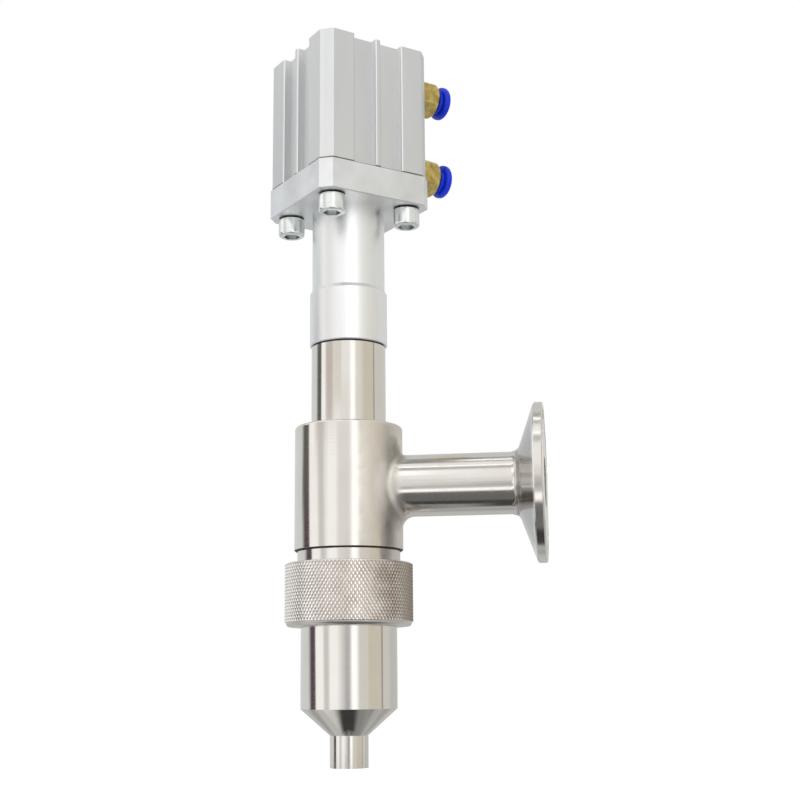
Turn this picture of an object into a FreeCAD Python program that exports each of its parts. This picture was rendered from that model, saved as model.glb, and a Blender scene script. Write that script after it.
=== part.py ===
import FreeCAD, Part
import math
import os

# Liquid filling nozzle: an air cylinder on top lifts a plug off its seat in the nozzle.
# Millimetres. Origin at the centre of the outlet's mouth, +Z up the axis, +X along the inlet branch.

V = FreeCAD.Vector
Z = V(0, 0, 1)

# Clearances
RUN_GAP = 0.05
FACE_GAP = 0.05
SEAL_GAP = 0.05
EDGE_BREAK = 0.3

# Outlet tube, cone and cup of the nozzle
OUTLET_BORE_R = 5.0
OUTLET_WALL = 1.0
OUTLET_LEN = 9.7
CONE_H = 8.0
CONE_WALL = 2.0
CUP_SHOWN = 25.0
CHAMBER_R = 13.1
CUP_WALL = 2.0
COLLAR_H = 3.6
COLLAR_GAP = 0.1

# Union nut, its gasket and the threaded neck above it
NUT_H = 19.7
NUT_LIP = 3.5
NUT_WALL = 3.85
NUT_EDGE = 1.5
GASKET_T = 1.8
NECK_WALL = 3.2
NECK_SHOWN = 3.9

# Tee body
TEE_STEP = 0.97
TEE_H = 39.7
TEE_TOP_ROUND = 1.0
TEE_TOP_WALL = 2.5
BRANCH_UP = 20.4

# Inlet branch and its clamp ferrule
PIPE_BORE_R = 8.0
PIPE_WALL = 1.85
WELD_R_BOTTOM = 3.8
WELD_R_TOP = 1.2
WELD_RUNOUT = 0.6
BRANCH_REACH = 62.62
FERRULE_LEN = 8.6
FERRULE_R = 25.25
FERRULE_RIM = 2.85
FERRULE_SLOPE = 20.0
HUB_STEP = 0.25
HUB_ROUND = 2.4
GROOVE_RING_R = 21.8
GROOVE_R = 1.6

# Bonnet tube between tee and sleeve, with the stem's gland and guide
BONNET_R = 12.03
BONNET_SEAT = 5.5
BONNET_SHOWN = 26.8
BONNET_STEP = 1.53
BONNET_GAP = 0.5
BONNET_SPIGOT_LEN = 12.8
BONNET_BORE_R = 6.0
GLAND_R = 8.0
GLAND_SHOULDER = 1.0
GLAND_LEN = 14.0
GUIDE_LEN = 12.0
GUIDE_FLANGE_R = 8.6
GUIDE_FLANGE_T = 1.5
STEM_SEAL_R = 1.0
STEM_SEAL_PITCH = 5.5
OUTER_SEAL_R = 0.9

# Connecting sleeve in two diameters
SLEEVE_LOW_H = 18.7
SLEEVE_HIGH_H = 27.0
SLEEVE_SHOULDER_H = 1.2
SLEEVE_SOCKET_WALL = 2.13
SLEEVE_BORE_R = 8.8
SLEEVE_WALL = 3.1
SLEEVE_SPIGOT_WALL = 2.1
SLEEVE_SPIGOT_LEN = 6.0

# Flange plate and the screws that hold it to the cylinder
BODY_W = 40.0
BODY_CHAMFER = 3.24
FLANGE_T = 10.3
FLANGE_OVER = 0.4
BOLT_PITCH = 28.0
SCREW_R = 2.5
SCREW_HOLE_R = 2.75
SCREW_LEN = 18.0
SCREW_HEAD_R = 4.36
SCREW_HEAD_H = 5.6
SCREW_HEAD_ROUND = 0.8
SCREW_HEX = 5.0
SCREW_HEX_DEPTH = 2.5
WASHER_T = 0.5
WASHER_R = 4.15
TAPPED_R = 2.1
TAPPED_SPARE = 1.0

# Cylinder barrel, extruded
CYL_BORE_R = 12.5
CYL_CLOCK = 39.65
GROOVE_HALF = 8.85
GROOVE_DEEP = 2.7
GROOVE_ROUND = 0.55
RIB_HALF = 1.0
SNAP_INSET = 1.2
SNAP_T = 1.0
SNAP_GROOVE = 0.75
SNAP_BAND = 1.9
SNAP_GAP_HALF = 3.2
SNAP_LUG_R = 1.5
SNAP_HOLE_R = 0.6
COVER_GAP = 0.05
FRONT_RIM = 4.6
FRONT_SEAL_R = 0.9
REAR_COVER_T = 7.9
REAR_RIM = 2.6
REAR_SEAL_R = 0.7
COVER_STEP = 1.5
SEAL_ROOM = 0.2

# Piston, rod and their seals
STROKE = 12.0
END_GAP = 0.5
PISTON_GAP = 0.1
PISTON_SEAL_R = 1.2
PISTON_LAND = 0.6
PISTON_MID_LAND = 1.2
WEAR_T = 1.0
WEAR_W = 2.0
WEAR_LAND = 0.2
BUMPER_IN_R = 8.5
BUMPER_OUT_R = 10.9
BUMPER_POCKET = 1.2
BUMPER_PROUD = 0.3
PISTON_NUT_AF = 13.0
PISTON_NUT_T = 4.0
PISTON_NUT_ROOM = 0.4
PISTON_NUT_SUNK = 0.3
ROD_R = 6.0
ROD_SPIGOT_R = 4.0
ROD_REACH = 15.5
ROD_FLATS_AF = 10.0
ROD_FLATS_LEN = 5.0
ROD_TAP_DEPTH = 9.0
BUSH_SHOULDER = 0.6
BUSH_LEN = 6.0
BUSH_WALL = 1.55
ROD_SEAL_WALL = 2.55
ROD_SEAL_H = 2.8
ROD_SEAL_LIP = 0.6

# Stem, plug and plug seal
STEM_R = 4.0
STEM_THREAD_R = 3.0
STEM_THREAD_LEN = 8.0
LOCK_NUT_AF = 10.0
LOCK_NUT_T = 5.0
PLUG_R = 8.6
PLUG_GAP = 0.35
PLUG_LAND = 3.0
PLUG_TAPER_H = 4.0
PLUG_HUB_H = 2.0
PLUG_HUB_WALL = 2.0
PLUG_SEAL_R = 1.25
PLUG_SEAL_ALONG = 2.4
PLUG_SEAL_GAP = 0.1

# Air fittings
TUBE_R = 3.0
TUBE_GAP = 0.05
PORT_THREAD_R = 2.5
PORT_DEPTH = 4.5
STUD_LEN = 4.0
DRILL_R = 1.5
DRILL_ROOM = 0.2
WASHER_RING_T = 0.6
WASHER_RING_R = 4.5
FITTING_FLOW_R = 1.2
FITTING_HEX_AF = 12.0
FITTING_HEX_CLOCK = 30.0
FITTING_HEX_BREAK = 0.5
FITTING_LEN = 14.1
FITTING_DOME_LEN = 4.5
FITTING_NOSE_WALL = 0.39
COLLET_WALL = 1.7
COLLET_LIP = 0.45
COLLET_LIP_LEN = 1.5
SOCKET_DEPTH = 5.0
GRIP_GAP = 0.1
GRIP_T = 1.0
GRIP_TEETH = 8
GRIP_SLOT = 0.5
RING_TRAVEL = 1.2
RING_END_GAP = 0.3
RING_FLANGE_T = 2.5
RING_FLANGE_OVER = 1.0
RING_ROUND = 1.05
RING_HOOK_LEN = 1.1
RING_HOOK_GAP = 0.2
RING_GRIP_GAP = 0.2
RING_SIDE_GAP = 0.1

# Heights up the axis, worked out from the sizes above
cone_tan = CONE_H / (CHAMBER_R + CUP_WALL - OUTLET_BORE_R - OUTLET_WALL)
cone_cos = 1 / math.hypot(1, cone_tan)
cone_sin = cone_tan * cone_cos
cup_r = CHAMBER_R + CUP_WALL
neck_r = CHAMBER_R + NECK_WALL
tee_r = neck_r + TEE_STEP
nut_r = neck_r + RUN_GAP + NUT_WALL
collar_r = neck_r - COLLAR_GAP
z_seat = OUTLET_LEN - OUTLET_WALL * cone_tan + CONE_WALL / cone_cos
z_cup = OUTLET_LEN + CONE_H
z_nut = z_cup + CUP_SHOWN
z_collar = z_nut + NUT_LIP + FACE_GAP
z_gasket = z_collar + COLLAR_H
z_neck = z_gasket + GASKET_T
z_tee = z_nut + NUT_H + NECK_SHOWN
z_branch = z_tee + BRANCH_UP
z_tee_top = z_tee + TEE_H
z_bonnet = z_tee_top - BONNET_SEAT
z_chamber = z_bonnet - TEE_TOP_WALL
z_sleeve = z_tee_top + BONNET_SHOWN
z_shoulder = z_sleeve - BONNET_GAP
z_spigot_top = z_sleeve + BONNET_SPIGOT_LEN
z_step = z_sleeve + SLEEVE_LOW_H
z_flange = z_step + SLEEVE_HIGH_H
z_body = z_flange + FLANGE_T
z_front = z_body + SNAP_INSET + SNAP_T
z_rod_seal = z_front + ROD_SEAL_LIP
z_bush = z_rod_seal + ROD_SEAL_H + BUSH_SHOULDER
z_front_top = z_bush + BUSH_LEN
z_piston = z_front_top + END_GAP
piston_groove = 2 * PISTON_SEAL_R + SEAL_ROOM
z_piston_seal = z_piston + BUMPER_POCKET + PISTON_LAND + piston_groove / 2
z_wear = z_piston_seal + piston_groove / 2 + PISTON_MID_LAND
z_piston_top = z_wear + WEAR_W + WEAR_LAND + BUMPER_POCKET
z_piston_nut = z_piston_top - PISTON_NUT_SUNK - PISTON_NUT_T
z_rear = z_piston_top + STROKE + END_GAP
z_rear_top = z_rear + REAR_COVER_T
z_body_top = z_rear_top + SNAP_T + SNAP_INSET
z_rod = z_flange - ROD_REACH
z_stem_top = z_rod - LOCK_NUT_T
z_nose = z_seat + PLUG_GAP / cone_cos
z_plug_land = z_nose + (PLUG_R - OUTLET_BORE_R) * cone_tan
z_plug_top = z_plug_land + PLUG_LAND + PLUG_TAPER_H + PLUG_HUB_H
port_face = BODY_W / 2
z_ports = {
    "lower": z_front + FRONT_RIM + DRILL_R + DRILL_ROOM,
    "upper": z_rear_top - REAR_RIM - DRILL_R - DRILL_ROOM,
}

# Radii of neighbours that fit each other
pipe_r = PIPE_BORE_R + PIPE_WALL
spigot_r = BONNET_R - BONNET_STEP
sleeve_low_r = spigot_r + SLEEVE_SOCKET_WALL
sleeve_high_r = SLEEVE_BORE_R + SLEEVE_WALL
flange_bore_r = SLEEVE_BORE_R + SLEEVE_SPIGOT_WALL
stem_run_r = STEM_R + RUN_GAP
rod_run_r = ROD_R + RUN_GAP
cover_r = CYL_BORE_R - COVER_GAP
cover_low_r = CYL_BORE_R - COVER_STEP
piston_r = CYL_BORE_R - PISTON_GAP
socket_r = TUBE_R + TUBE_GAP
collet_r = socket_r + COLLET_WALL
mouth_r = collet_r - COLLET_LIP
nose_r = mouth_r + FITTING_NOSE_WALL
skirt_r = mouth_r - RING_SIDE_GAP
hex_start = port_face + WASHER_RING_T
fitting_end = hex_start + FITTING_LEN
hook_top = fitting_end - COLLET_LIP_LEN - RING_HOOK_GAP
hook_low = hook_top - RING_HOOK_LEN
grip_start = hook_low - RING_TRAVEL - RING_GRIP_GAP - GRIP_T
collet_floor = grip_start - GRIP_GAP - (collet_r - socket_r)


def cyl(radius, low, high):
    """Solid cylinder on the axis between two heights."""
    return Part.makeCylinder(radius, high - low, V(0, 0, low))


def tube(outer, inner, low, high):
    """Straight tube on the axis between two heights."""
    return cyl(outer, low, high).cut(cyl(inner, low, high))


def turned(start, *steps):
    """Solid of revolution from (radius, height) points. A pair of points is an arc: middle, end."""
    edges = []
    here = V(start[0], 0, start[1])
    first = here
    for step in steps:
        if isinstance(step[0], tuple):
            middle, end = (V(p[0], 0, p[1]) for p in step)
            edges.append(Part.Arc(here, middle, end).toShape())
        else:
            end = V(step[0], 0, step[1])
            edges.append(Part.LineSegment(here, end).toShape())
        here = end
    if (here - first).Length > 1e-6:
        edges.append(Part.LineSegment(here, first).toShape())
    return Part.Face(Part.Wire(edges)).revolve(V(0, 0, 0), Z, 360)


def quarter(centre, radius, angle_from, angle_to):
    """Middle and end point of an arc about a centre in the (radius, height) plane, in degrees."""
    def at(angle):
        a = math.radians(angle)
        return (centre[0] + radius * math.cos(a), centre[1] + radius * math.sin(a))
    return (at((angle_from + angle_to) / 2), at(angle_to))


def ring(centre_r, section_r, height):
    """Ring of round section about the axis."""
    return Part.makeTorus(centre_r, section_r, V(0, 0, height), Z)


def corner_radius(across_flats):
    """Radius over the corners of a hexagon."""
    return across_flats / 2 / math.cos(math.radians(30))


def hexagon(across_flats, low, high):
    """Hexagonal prism on the axis, with flats towards +X and -X."""
    corner_r = corner_radius(across_flats)
    angles = [math.radians(60 * i + 30) for i in range(7)]
    points = [V(corner_r * math.cos(a), corner_r * math.sin(a), low) for a in angles]
    return Part.Face(Part.makePolygon(points)).extrude(V(0, 0, high - low))


def broken_hexagon(across_flats, low, high, break_r):
    """Hexagonal prism with its corners turned away at both ends."""
    corner_r = corner_radius(across_flats)
    turned_blank = turned((0, low), (corner_r - break_r, low), (corner_r, low + break_r),
                          (corner_r, high - break_r), (corner_r - break_r, high), (0, high))
    return hexagon(across_flats, low, high).common(turned_blank)


def along_x(shape, height):
    """A shape made up the axis, laid along +X at a height."""
    laid = shape.copy()
    laid.rotate(V(0, 0, 0), V(0, 1, 0), 90)
    laid.translate(V(0, 0, height))
    return laid


def clocked(shape):
    """A shape of the cylinder end, turned from the branch's direction to the ports' direction."""
    turned_shape = shape.copy()
    turned_shape.rotate(V(0, 0, 0), Z, CYL_CLOCK)
    return turned_shape


def on_bolts(make):
    """One solid at each of the four bolt places."""
    half = BOLT_PITCH / 2
    solids = []
    for x in (-half, half):
        for y in (-half, half):
            solid = make()
            solid.translate(V(x, y, 0))
            solids.append(solid)
    return solids


def without_bolt_holes(shape, radius, low, high):
    """A shape with a hole at each bolt place."""
    for hole in on_bolts(lambda: cyl(radius, low, high)):
        shape = shape.cut(hole)
    return shape


# Nozzle

def nozzle_body():
    """Cup, cone and outlet tube in one, with a collar for the nut at its top."""
    outer_r = OUTLET_BORE_R + OUTLET_WALL
    z_cone_top = z_seat + (CHAMBER_R - OUTLET_BORE_R) * cone_tan
    return turned(
        (OUTLET_BORE_R, 0), (outer_r, 0), (outer_r, OUTLET_LEN), (cup_r, z_cup), (cup_r, z_collar),
        (collar_r, z_collar), (collar_r, z_gasket), (CHAMBER_R, z_gasket),
        (CHAMBER_R, z_cone_top), (OUTLET_BORE_R, z_seat))


def union_nut():
    """Nut with a lip under the collar; its outside is the crest of the knurl."""
    z_top = z_nut + NUT_H
    bore_r = neck_r + RUN_GAP
    lip_r = cup_r + RUN_GAP
    return turned(
        (lip_r, z_nut), (nut_r - NUT_EDGE, z_nut),
        quarter((nut_r - NUT_EDGE, z_nut + NUT_EDGE), NUT_EDGE, -90, 0),
        (nut_r, z_top - NUT_EDGE),
        quarter((nut_r - NUT_EDGE, z_top - NUT_EDGE), NUT_EDGE, 0, 90),
        (bore_r, z_top), (bore_r, z_nut + NUT_LIP), (lip_r, z_nut + NUT_LIP))


def union_gasket():
    return tube(collar_r, CHAMBER_R, z_gasket, z_neck)


# Tee

def weld_radius(point):
    """The polished weld is tight above the branch and wide below it."""
    return WELD_R_TOP if point.z > z_branch else WELD_R_BOTTOM


def branch_welded(body):
    """Rounds the joint of branch and body with a radius that changes round the pipe."""
    document = FreeCAD.newDocument("weld")
    base = document.addObject("Part::Feature", "sharp")
    base.Shape = body
    weld = document.addObject("Part::Fillet", "rounded")
    weld.Base = base
    joints = []
    for number, edge in enumerate(body.Edges, 1):
        start = edge.valueAt(edge.FirstParameter)
        end = edge.valueAt(edge.LastParameter)
        if isinstance(edge.Curve, Part.BSplineCurve):
            joints.append((number, weld_radius(start), weld_radius(end)))
    weld.Edges = joints
    document.recompute()
    return weld.Shape.copy()


def tee_body():
    """Turned body with chamber, neck and the root of the branch."""
    stub_end = tee_r + WELD_R_BOTTOM + WELD_RUNOUT
    blank = turned(
        (0, z_neck), (neck_r - EDGE_BREAK, z_neck), (neck_r, z_neck + EDGE_BREAK), (neck_r, z_tee),
        (tee_r - EDGE_BREAK, z_tee), (tee_r, z_tee + EDGE_BREAK), (tee_r, z_tee_top - TEE_TOP_ROUND),
        quarter((tee_r - TEE_TOP_ROUND, z_tee_top - TEE_TOP_ROUND), TEE_TOP_ROUND, 0, 90),
        (0, z_tee_top))
    branch = Part.makeCylinder(pipe_r, stub_end, V(0, 0, z_branch), V(1, 0, 0))
    body = branch_welded(blank.fuse(branch))
    body = body.cut(cyl(CHAMBER_R, z_neck, z_chamber))
    body = body.cut(cyl(GLAND_R - GLAND_SHOULDER, z_chamber, z_bonnet))
    body = body.cut(cyl(BONNET_R, z_bonnet, z_tee_top))
    return body.cut(along_x(cyl(PIPE_BORE_R, 0, stub_end), z_branch))


def inlet_pipe():
    start = tee_r + WELD_R_BOTTOM + WELD_RUNOUT
    return along_x(tube(pipe_r, PIPE_BORE_R, start, BRANCH_REACH - FERRULE_LEN), z_branch)


def inlet_ferrule():
    """Clamp ferrule: hub, coned back, rim, and the gasket's groove in its face."""
    face = BRANCH_REACH
    back = face - FERRULE_LEN
    hub_r = pipe_r + HUB_STEP
    slope = math.tan(math.radians(FERRULE_SLOPE))
    rim_back = face - FERRULE_RIM
    bend_r = HUB_ROUND * math.tan(math.radians((90 - FERRULE_SLOPE) / 2))
    z_corner = rim_back - (FERRULE_R - hub_r) * slope
    round_centre = (hub_r + HUB_ROUND, z_corner - bend_r)
    angle = 90 - FERRULE_SLOPE
    body = turned(
        (PIPE_BORE_R, back), (pipe_r, back), (hub_r, back + HUB_STEP), (hub_r, z_corner - bend_r),
        quarter(round_centre, HUB_ROUND, 180, 180 - angle),
        (FERRULE_R - EDGE_BREAK, rim_back - EDGE_BREAK * slope), (FERRULE_R, rim_back + EDGE_BREAK),
        (FERRULE_R, face - EDGE_BREAK), (FERRULE_R - EDGE_BREAK, face), (PIPE_BORE_R, face))
    return along_x(body.cut(ring(GROOVE_RING_R, GROOVE_R, face)), z_branch)


# Bonnet, gland and guide

def bonnet_tube():
    """Tube from tee to sleeve; its shoulder stops short of the sleeve, which seats on the spigot's end."""
    z_gland_top = z_bonnet + GLAND_LEN
    z_guide = z_spigot_top - GUIDE_LEN
    return turned(
        (GLAND_R, z_bonnet), (BONNET_R, z_bonnet), (BONNET_R, z_shoulder), (spigot_r, z_shoulder),
        (spigot_r, z_spigot_top), (GLAND_R, z_spigot_top), (GLAND_R, z_guide), (BONNET_BORE_R, z_guide),
        (BONNET_BORE_R, z_gland_top), (GLAND_R, z_gland_top))


def gland_seal_heights():
    middle = z_bonnet + GLAND_LEN / 2
    return (middle - STEM_SEAL_PITCH / 2, middle + STEM_SEAL_PITCH / 2)


def gland_bush():
    """Lower guide bush, with two grooves for the stem's rings and one outside."""
    bush = tube(GLAND_R, stem_run_r, z_bonnet, z_bonnet + GLAND_LEN)
    for z in gland_seal_heights():
        half = STEM_SEAL_R + SEAL_ROOM / 2
        bush = bush.cut(cyl(stem_run_r + 2 * STEM_SEAL_R, z - half, z + half))
    middle = z_bonnet + GLAND_LEN / 2
    half = OUTER_SEAL_R + SEAL_ROOM / 2
    return bush.cut(tube(GLAND_R, GLAND_R - 2 * OUTER_SEAL_R, middle - half, middle + half))


def gland_seals():
    return Part.makeCompound([ring(stem_run_r + STEM_SEAL_R, STEM_SEAL_R, z) for z in gland_seal_heights()])


def gland_outer_seal():
    return ring(GLAND_R - OUTER_SEAL_R, OUTER_SEAL_R, z_bonnet + GLAND_LEN / 2)


def stem_guide():
    bush = cyl(GLAND_R, z_spigot_top - GUIDE_LEN, z_spigot_top)
    flange = cyl(GUIDE_FLANGE_R, z_spigot_top, z_spigot_top + GUIDE_FLANGE_T)
    return bush.fuse(flange).cut(cyl(stem_run_r, z_bonnet, z_flange))


# Sleeve and flange

def connecting_sleeve():
    z_top = z_flange + SLEEVE_SPIGOT_LEN
    return turned(
        (spigot_r, z_sleeve), (sleeve_low_r - EDGE_BREAK, z_sleeve), (sleeve_low_r, z_sleeve + EDGE_BREAK),
        (sleeve_low_r, z_step - SLEEVE_SHOULDER_H), (sleeve_high_r, z_step),
        (sleeve_high_r, z_flange), (flange_bore_r, z_flange), (flange_bore_r, z_top),
        (SLEEVE_BORE_R, z_top), (SLEEVE_BORE_R, z_spigot_top), (spigot_r, z_spigot_top))


def square_outline(half, chamfer):
    """Square with chamfered corners, as corner points in order."""
    points = []
    for side in range(4):
        for u in (-(half - chamfer), half - chamfer):
            points.append(on_side(side, u, half))
    return points


def on_side(side, u, out):
    """Point on a side of the square: u along it, out from the axis."""
    a = math.radians(90 * side)
    return V(out * math.cos(a) - u * math.sin(a), out * math.sin(a) + u * math.cos(a), 0)


def extruded(points, low, high):
    """Closed outline pulled up between two heights."""
    face = Part.Face(Part.makePolygon(points + points[:1]))
    solid = face.extrude(V(0, 0, high - low))
    solid.translate(V(0, 0, low))
    return solid


def flange_plate():
    plate = extruded(square_outline(BODY_W / 2 + FLANGE_OVER, BODY_CHAMFER), z_flange, z_body)
    rims = [e for e in plate.Edges if e.BoundBox.ZLength < EDGE_BREAK]
    plate = plate.makeChamfer(EDGE_BREAK, rims)
    plate = plate.cut(cyl(flange_bore_r, z_flange, z_flange + SLEEVE_SPIGOT_LEN))
    plate = plate.cut(cyl(SLEEVE_BORE_R, z_flange, z_body))
    return clocked(without_bolt_holes(plate, SCREW_HOLE_R, z_flange, z_body))


def cap_screw():
    """Socket head cap screw, head down."""
    z_seat_face = z_flange - WASHER_T
    z_head = z_seat_face - SCREW_HEAD_H
    head = turned(
        (0, z_head), (SCREW_HEAD_R - SCREW_HEAD_ROUND, z_head),
        quarter((SCREW_HEAD_R - SCREW_HEAD_ROUND, z_head + SCREW_HEAD_ROUND), SCREW_HEAD_ROUND, -90, 0),
        (SCREW_HEAD_R, z_seat_face), (SCREW_R, z_seat_face), (SCREW_R, z_seat_face + SCREW_LEN - EDGE_BREAK),
        (SCREW_R - EDGE_BREAK, z_seat_face + SCREW_LEN), (0, z_seat_face + SCREW_LEN))
    return head.cut(hexagon(SCREW_HEX, z_head, z_head + SCREW_HEX_DEPTH))


def cap_screws():
    return clocked(Part.makeCompound(on_bolts(cap_screw)))


def screw_washers():
    return clocked(Part.makeCompound(
        on_bolts(lambda: tube(WASHER_R, SCREW_R, z_flange - WASHER_T, z_flange))))


# Cylinder barrel and covers

def barrel_outline():
    """Extrusion's outline: grooved faces with a rib, and one flat face for the ports."""
    half = BODY_W / 2
    land = half - BODY_CHAMFER
    floor = half - GROOVE_DEEP
    grooved = [
        (-land, half), (-GROOVE_HALF, half), (-GROOVE_HALF, floor), (-RIB_HALF, floor), (-RIB_HALF, half),
        (RIB_HALF, half), (RIB_HALF, floor), (GROOVE_HALF, floor), (GROOVE_HALF, half), (land, half)]
    flat = [(-land, half), (land, half)]
    points = []
    for side in range(4):
        points += [on_side(side, u, out) for u, out in (flat if side == 0 else grooved)]
    return points


def outer_uprights(body, low, high):
    """Upright edges on the faces of the extrusion, by their distance from the middle of a face."""
    found = []
    for edge in body.Edges:
        across, out = sorted((abs(edge.CenterOfMass.x), abs(edge.CenterOfMass.y)))
        if edge.BoundBox.ZLength > EDGE_BREAK and out > BODY_W / 2 - EDGE_BREAK and low < across < high:
            found.append(edge)
    return found


def cylinder_body():
    """Barrel with sharp inner corners, as the die leaves them, and rounded outer edges."""
    body = extruded(barrel_outline(), z_body, z_body_top)
    grooves_end = GROOVE_HALF + GROOVE_ROUND
    body = body.makeFillet(GROOVE_ROUND, outer_uprights(body, 0, grooves_end))
    body = body.makeFillet(EDGE_BREAK, outer_uprights(body, grooves_end + EDGE_BREAK, BODY_W / 2))
    body = body.cut(cyl(CYL_BORE_R, z_body, z_body_top))
    groove_r = CYL_BORE_R + SNAP_GROOVE
    for z in (z_body + SNAP_INSET, z_rear_top):
        body = body.cut(cyl(groove_r, z, z + SNAP_T))
    body = without_bolt_holes(body, TAPPED_R, z_body, z_body_top)
    grip_top = z_flange - WASHER_T + SCREW_LEN + TAPPED_SPARE
    body = without_bolt_holes(body, SCREW_R, z_body, grip_top)
    for z in z_ports.values():
        body = body.cut(along_x(cyl(PORT_THREAD_R, port_face - PORT_DEPTH, port_face), z))
        body = body.cut(along_x(cyl(DRILL_R, 0, port_face - PORT_DEPTH), z))
    return clocked(body)


def snap_ring(z):
    """Open retaining ring with two lugs beside its gap."""
    outer_r = CYL_BORE_R + SNAP_GROOVE - SEAL_GAP
    band = tube(outer_r, outer_r - SNAP_BAND, z, z + SNAP_T)
    lug_out = outer_r - SNAP_BAND - SNAP_LUG_R / 2
    gap = Part.makeBox(outer_r, 2 * SNAP_GAP_HALF, SNAP_T, V(-outer_r, -SNAP_GAP_HALF, z))
    band = band.cut(gap)
    for side in (-1, 1):
        place = V(-lug_out, side * (SNAP_GAP_HALF + SNAP_LUG_R), z)
        band = band.fuse(Part.makeCylinder(SNAP_LUG_R, SNAP_T, place))
        band = band.cut(Part.makeCylinder(SNAP_HOLE_R, SNAP_T, place))
    return clocked(band)


def front_cover():
    """Cover that carries the rod's bush and seal; its narrow part leaves the air a way in."""
    z_rim = z_front + FRONT_RIM
    z_seal_top = z_rod_seal + ROD_SEAL_H
    seal_r = rod_run_r + ROD_SEAL_WALL
    hole_r = ROD_R + SEAL_ROOM
    bush_r = rod_run_r + BUSH_WALL
    cover = turned(
        (hole_r, z_front), (cover_r, z_front), (cover_r, z_rim), (cover_low_r, z_rim),
        (cover_low_r, z_front_top), (bush_r, z_front_top), (bush_r, z_bush),
        (hole_r, z_bush), (hole_r, z_seal_top), (seal_r, z_seal_top),
        (seal_r, z_rod_seal), (hole_r, z_rod_seal))
    return cover.cut(seal_groove(FRONT_SEAL_R, z_front + FRONT_RIM / 2))


def seal_groove(section_r, z):
    """Room for a ring in the outside of a cover."""
    half = section_r + SEAL_ROOM / 2
    return tube(CYL_BORE_R, CYL_BORE_R - 2 * section_r, z - half, z + half)


def rear_cover():
    z_rim = z_rear_top - REAR_RIM
    cover = turned((0, z_rear), (cover_low_r, z_rear), (cover_low_r, z_rim), (cover_r, z_rim),
                   (cover_r, z_rear_top), (0, z_rear_top))
    return cover.cut(seal_groove(REAR_SEAL_R, z_rear_top - REAR_RIM / 2))


def rod_bush():
    return tube(rod_run_r + BUSH_WALL, rod_run_r, z_bush, z_front_top)


def rod_seal():
    """Lip seal, its V open to the pressure side."""
    low = z_rod_seal
    high = low + ROD_SEAL_H
    inner, outer = rod_run_r, rod_run_r + ROD_SEAL_WALL
    middle = (inner + outer) / 2
    lip = ROD_SEAL_WALL / 4
    return turned((inner, low), (outer, low), (outer, high), (outer - lip, high), (middle, (low + high) / 2),
                  (inner + lip, high), (inner, high))


# Piston and rod

def piston():
    nut_pocket_r = corner_radius(PISTON_NUT_AF + PISTON_NUT_ROOM)
    body = tube(piston_r, ROD_SPIGOT_R, z_piston, z_piston_top)
    body = body.cut(cyl(nut_pocket_r, z_piston_nut, z_piston_top))
    body = body.cut(tube(CYL_BORE_R, CYL_BORE_R - SEAL_GAP - 2 * PISTON_SEAL_R,
                         z_piston_seal - piston_groove / 2, z_piston_seal + piston_groove / 2))
    body = body.cut(tube(CYL_BORE_R, CYL_BORE_R - SEAL_GAP - WEAR_T, z_wear, z_wear + WEAR_W))
    for low in (z_piston, z_piston_top - BUMPER_POCKET):
        body = body.cut(tube(BUMPER_OUT_R, BUMPER_IN_R, low, low + BUMPER_POCKET))
    return body


def piston_seal():
    return ring(CYL_BORE_R - SEAL_GAP - PISTON_SEAL_R, PISTON_SEAL_R, z_piston_seal)


def wear_ring():
    outer_r = CYL_BORE_R - SEAL_GAP
    return tube(outer_r, outer_r - WEAR_T, z_wear, z_wear + WEAR_W)


def piston_bumpers():
    return Part.makeCompound([
        tube(BUMPER_OUT_R, BUMPER_IN_R, z_piston - BUMPER_PROUD, z_piston + BUMPER_POCKET),
        tube(BUMPER_OUT_R, BUMPER_IN_R, z_piston_top - BUMPER_POCKET, z_piston_top + BUMPER_PROUD)])


def piston_nut():
    z_nut_top = z_piston_nut + PISTON_NUT_T
    nut = broken_hexagon(PISTON_NUT_AF, z_piston_nut, z_nut_top, EDGE_BREAK)
    return nut.cut(cyl(ROD_SPIGOT_R, z_piston_nut, z_nut_top))


def piston_rod():
    """Rod with a spigot through the piston, and flats and a tapped hole at its lower end."""
    z_top = z_piston_nut + PISTON_NUT_T
    rod = turned((0, z_rod), (ROD_R - EDGE_BREAK, z_rod), (ROD_R, z_rod + EDGE_BREAK), (ROD_R, z_piston),
                 (ROD_SPIGOT_R, z_piston), (ROD_SPIGOT_R, z_top), (0, z_top))
    rod = rod.cut(cyl(STEM_THREAD_R, z_rod, z_rod + ROD_TAP_DEPTH))
    for side in (-1, 1):
        slab = Part.makeBox(2 * ROD_R, ROD_R, ROD_FLATS_LEN, V(-ROD_R, 0, z_rod))
        slab.translate(V(0, ROD_FLATS_AF / 2 if side > 0 else -ROD_FLATS_AF / 2 - ROD_R, 0))
        rod = rod.cut(slab)
    return rod


# Stem and plug

def valve_stem():
    z_low = z_plug_top - STEM_THREAD_LEN
    z_high = z_rod + STEM_THREAD_LEN
    return turned((0, z_low), (STEM_THREAD_R, z_low), (STEM_THREAD_R, z_plug_top), (STEM_R, z_plug_top),
                  (STEM_R, z_stem_top), (STEM_THREAD_R, z_stem_top), (STEM_THREAD_R, z_high), (0, z_high))


def coupling_nut():
    nut = broken_hexagon(LOCK_NUT_AF, z_stem_top, z_rod, EDGE_BREAK)
    return nut.cut(cyl(STEM_THREAD_R, z_stem_top, z_rod))


def plug_seal():
    """Ring in the plug's cone, just clear of the seat while the plug is down."""
    off = PLUG_SEAL_R + PLUG_SEAL_GAP
    centre_r = OUTLET_BORE_R + PLUG_SEAL_ALONG * cone_cos - off * cone_sin
    centre_z = z_seat + PLUG_SEAL_ALONG * cone_sin + off * cone_cos
    return ring(centre_r, PLUG_SEAL_R, centre_z)


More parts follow.
